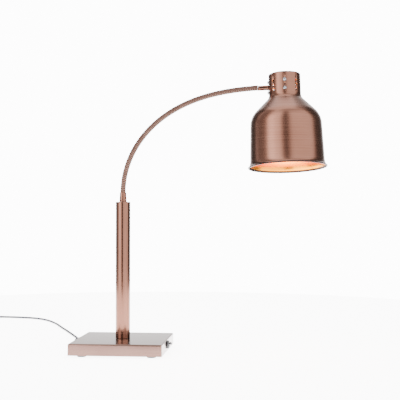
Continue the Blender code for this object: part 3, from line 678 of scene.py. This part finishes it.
def build_head_fixings():
    seat = SHADE_NECK_RADIUS + 0.2 * MM
    for side, sign in (("front", -1), ("rear", 1)):
        for level, row in (("lower", -1), ("upper", 1)):
            centre = Vector((0, sign * seat, ENTRY_HEIGHT + row * VENT_PITCH))
            dome_screw(f"{side}_dome_{level}", f"{side}_screw_{level}", centre, (0, sign, 0))
    for level, row in (("lower", -1), ("upper", 1)):
        centre = Vector((-seat, 0, ENTRY_HEIGHT + row * SIDE_SCREW_PITCH))
        dome_screw(f"side_dome_{level}", f"side_screw_{level}", centre, (-1, 0, 0))
    span = UPPER_FERRULE
    profile = [
        (3.2 * MM, 0), (5.5 * MM, 0), (5.5 * MM, 1.6 * MM), (5.2 * MM, 2.0 * MM), (5.45 * MM, 2.5 * MM),
        (5.45 * MM, span - 2.6 * MM), (6.6 * MM, span - 2.2 * MM), (6.6 * MM, span - 0.4 * MM),
        (4.6 * MM, span - 0.4 * MM), (4.6 * MM, span + 11 * MM), (3.2 * MM, span + 11 * MM),
    ]
    place = HEAD @ along((-SHADE_NECK_RADIUS - span, 0, ENTRY_HEIGHT), (1, 0, 0))
    ferrule = new_object(
        "ferrule_upper", turned(rounded_profile(profile, 0.3 * MM), 48, loop=True), MATERIAL["column"], place)
    finish_piece(ferrule, "head", "brushed_copper", "upper_ferrule")


def build_bulb():
    cone = [(20.5 * MM, 132 * MM), (30 * MM, 116 * MM), (40 * MM, 100 * MM), (49 * MM, 85 * MM), (56 * MM, 72 * MM)]
    edge = arc((55.5 * MM, 50 * MM), 7 * MM, 60, -60, 12)
    face = [(48 * MM, 32.0 * MM), (36 * MM, 26.5 * MM), (19 * MM, 22.5 * MM), (8 * MM, 21.3 * MM), (0, 21 * MM)]
    glass = [(0, 149.7 * MM), (16 * MM, 149.7 * MM), (17 * MM, 148 * MM), (17.5 * MM, 138 * MM)]
    profile = glass + cone + edge + face
    bulb = new_object("heat_bulb", turned(profile, 96), MATERIAL["glass"], HEAD, 50)
    finish_piece(bulb, "head", "glass", "bulb_glass")


# ---------------------------------------------------------------- switch, feet

def build_switch():
    reach = 9 * MM
    profile = [(5.9 * MM, 0.3 * MM), (reach, 0.3 * MM), (reach, 3.4 * MM), (8 * MM, 4.8 * MM), (5.9 * MM, 4.8 * MM)]
    bm = turned(rounded_profile(profile, 0.5 * MM), 64, loop=True)
    collar = new_object("switch_ring", bm, MATERIAL["plastic"], along((BASE_HALF, SWITCH_Y, SWITCH_HEIGHT), (1, 0, 0)))
    finish_piece(collar, "base", "black_plastic", "switch_collar")
    lever = [
        (0, -2.4 * MM), (1.6 * MM, -2 * MM), (1.6 * MM, 7 * MM), (2.9 * MM, 7.6 * MM),
        (3.25 * MM, 10 * MM), (2.7 * MM, 11.2 * MM), (0, 11.8 * MM),
    ]
    aim = (math.cos(LEVER_ANGLE), 0, math.sin(LEVER_ANGLE))
    bat = new_object(
        "switch_bat", turned(rounded_profile(lever, 0.7 * MM, 4, False), 40), MATERIAL["nub"], along(LEVER_PIVOT, aim))
    finish_piece(bat, "switch_lever", "black_plastic", "switch_lever")


def build_feet():
    for place in ("front_left", "front_right", "rear_left", "rear_right"):
        low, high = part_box("foot_" + place)
        x = (low[0] + high[0]) / 2
        y = (low[1] + high[1]) / 2
        profile = [
            (2.4 * MM, high[2]), (2.4 * MM, -1 * MM), (5 * MM, -1 * MM), (5 * MM, FLOOR_Z),
            (9.5 * MM, FLOOR_Z), (9.5 * MM, high[2]),
        ]
        bm = turned(rounded_profile(profile, 0.8 * MM), 48, loop=True)
        foot = new_object("pad_" + place, bm, MATERIAL["rubber"], Matrix.Translation((x, y, 0)))
        finish_piece(foot, "base", "rubber", "foot_" + place)


# ---------------------------------------------------------------- mains lead

def coil_points():
    """Two layers of two turns, from the lead's end round to the tail's start."""
    outer, inner = COIL_TURN_RADII
    low = CORD_FLOOR
    high = CORD_FLOOR + CORD_DIAMETER + 0.4 * MM
    steps = 36
    turns = [
        (outer, outer, low, low), (outer, inner, low, low),
        (inner, inner, low, high), (inner, outer, high, high),
    ]
    start = -math.pi / 2
    points = []
    travelled = 0.0
    for first, last, level, next_level in turns:
        for k in range(steps):
            share = k / steps
            blend = min(1.0, share * 4)
            blend = blend * blend * (3 - 2 * blend)
            radius = first + (last - first) * blend
            height = level + (next_level - level) * blend
            angle = start - travelled
            points.append(COIL_CENTRE + Vector((radius * math.cos(angle), radius * math.sin(angle), height)))
            travelled += 2 * math.pi / steps
    for k in range(9):
        share = k / 9
        radius = outer + (7 * MM) * share**2
        angle = start - travelled
        height = high + (0.0035 - high) * share**2
        points.append(COIL_CENTRE + Vector((radius * math.cos(angle), radius * math.sin(angle), height)))
        travelled += 2 * math.pi / steps
    return points


def build_cord():
    lead = smooth_curve(CORD_ROUTE, 9 * MM)
    path = lead[:-1] + coil_points() + [Vector(p) for p in TAIL_ROUTE]
    path = smooth_curve(path, 4 * MM)
    length = sum((b - a).length for a, b in zip(path, path[1:]))
    print("cord length", round(length, 4))
    curve = bpy.data.curves.new("mains_cord", "CURVE")
    curve.dimensions = "3D"
    curve.bevel_depth = CORD_RADIUS
    curve.bevel_resolution = 5
    curve.use_fill_caps = True
    spline = curve.splines.new("POLY")
    spline.points.add(len(path) - 1)
    for target, point in zip(spline.points, path):
        target.co = (*point, 1.0)
    spline.use_smooth = True
    curve.materials.append(MATERIAL["cord"])
    cord = bpy.data.objects.new("mains_cord", curve)
    bpy.context.scene.collection.objects.link(cord)
    finish_piece(cord, "base", "rubber", "cord_lead", "cord_coil", "cord_tail")

    relief = build_relief()
    plug = build_plug()


def build_relief():
    """The strain relief: a flange on the cover and a tapered nose with flex grooves."""
    length = 20.5 * MM
    profile = [(4.9 * MM, 0), (4.9 * MM, 10.3 * MM), (7 * MM, 10.3 * MM), (7 * MM, 11.9 * MM), (5.6 * MM, 12.3 * MM)]
    grooves = 5
    nose = 12.7 * MM
    pitch = (length - nose) / grooves
    for k in range(grooves):
        foot = nose + k * pitch
        radius = 5.6 * MM - 0.32 * MM * k
        profile += [(radius, foot), (radius - 0.15 * MM, foot + pitch * 0.6), (radius - 0.9 * MM, foot + pitch * 0.7)]
        profile += [(radius - 0.9 * MM, foot + pitch * 0.92)]
    profile += [(3.9 * MM, length - 0.05 * MM), (3.2 * MM, length), (3.2 * MM, 0)]
    place = along((-0.1105 + length, 0.085, 0.012), (-1, 0, 0))
    bm = turned(rounded_profile(profile, 0.25 * MM, 2), 40, loop=True)
    relief = new_object("cord_relief", bm, MATERIAL["rubber"], place)
    return finish_piece(relief, "base", "rubber", "strain_relief")


def build_plug():
    """A moulded plug with a grooved tail, a waist and two pins."""
    half_height = PLUG_START.z - FLOOR_Z
    profile = [(0, 0), (4.4 * MM, 0)]
    for k in range(5):
        foot = (1.5 + 3 * k) * MM
        profile += [(4.5 * MM + 0.15 * MM * k, foot), (3.9 * MM, foot + 0.5 * MM), (3.9 * MM, foot + 1.3 * MM)]
        profile += [(4.6 * MM + 0.2 * MM * k, foot + 1.6 * MM)]
    profile += [
        (6.2 * MM, 17.5 * MM), (10 * MM, 20 * MM), (14.6 * MM, 25 * MM), (15.4 * MM, 34 * MM), (16.5 * MM, 44 * MM),
        (18.4 * MM, 46 * MM), (18.4 * MM, 56 * MM), (0, 56 * MM),
    ]
    bm = turned(rounded_profile(profile, 1.0 * MM, 4, False), 72)
    for vert in bm.verts:
        limit = half_height - 0.1 * MM
        if abs(vert.co.y) > 0.8 * limit:
            excess = abs(vert.co.y) - 0.8 * limit
            squeezed = 0.8 * limit + 0.2 * limit * (1 - math.exp(-excess / (0.2 * limit)))
            vert.co.y = math.copysign(squeezed, vert.co.y)
    aim = Matrix.Translation(PLUG_START) @ Matrix.Rotation(math.radians(-90), 4, "X")
    plug = new_object("plug_body", bm, MATERIAL["plastic"], aim, 50)
    finish_piece(plug, "base", "rubber", "mains_plug")
    for side, sign in (("left", -1), ("right", 1)):
        pin_profile = [(0, 55 * MM), (2.4 * MM, 55 * MM), (2.4 * MM, 73.5 * MM), (1.6 * MM, 74.8 * MM), (0, 75 * MM)]
        bm = turned(rounded_profile(pin_profile, 0.5 * MM, 3, False), 32)
        place = aim @ Matrix.Translation((sign * 9.5 * MM, 0, 0))
        pin = new_object("plug_pin_" + side, bm, MATERIAL["brass"], place, 50)
        finish_piece(pin, "base", "brass")
    return plug


# ---------------------------------------------------------------- carried-over CAD nodes

CARRIED = {
    "painted": ["base_plate", "ballast_plate"],
    "zinc": [
        "column_bottom_plug", "column_nipple", "column_washer", "spacer_sleeve", "arm_flange",
        "socket_bracket", "socket_nipple", "foot_screw_front_left", "foot_screw_front_right",
        "foot_screw_rear_left", "foot_screw_rear_right",
    ],
    "column": ["column_top_plug"],
    "brass": ["column_nut", "arm_lock_nut", "socket_nut", "bulb_cap"],
    "plastic": ["strain_relief_nut", "switch_body", "cable_tie"],
    "wire": ["supply_wire", "switch_wire", "column_wire"],
    "ceramic": ["lamp_socket", "terminal_block"],
}


def dress_carried_nodes():
    for key, names in CARRIED.items():
        for name in names:
            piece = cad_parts[name]
            for slot in piece.material_slots:
                slot.material = MATERIAL[key]


build_camera()
build_stage()
build_light()
build_cord()
build_base()
build_column()
build_gooseneck()
build_shade()
build_head_fixings()
build_bulb()
build_switch()
build_feet()
dress_carried_nodes()
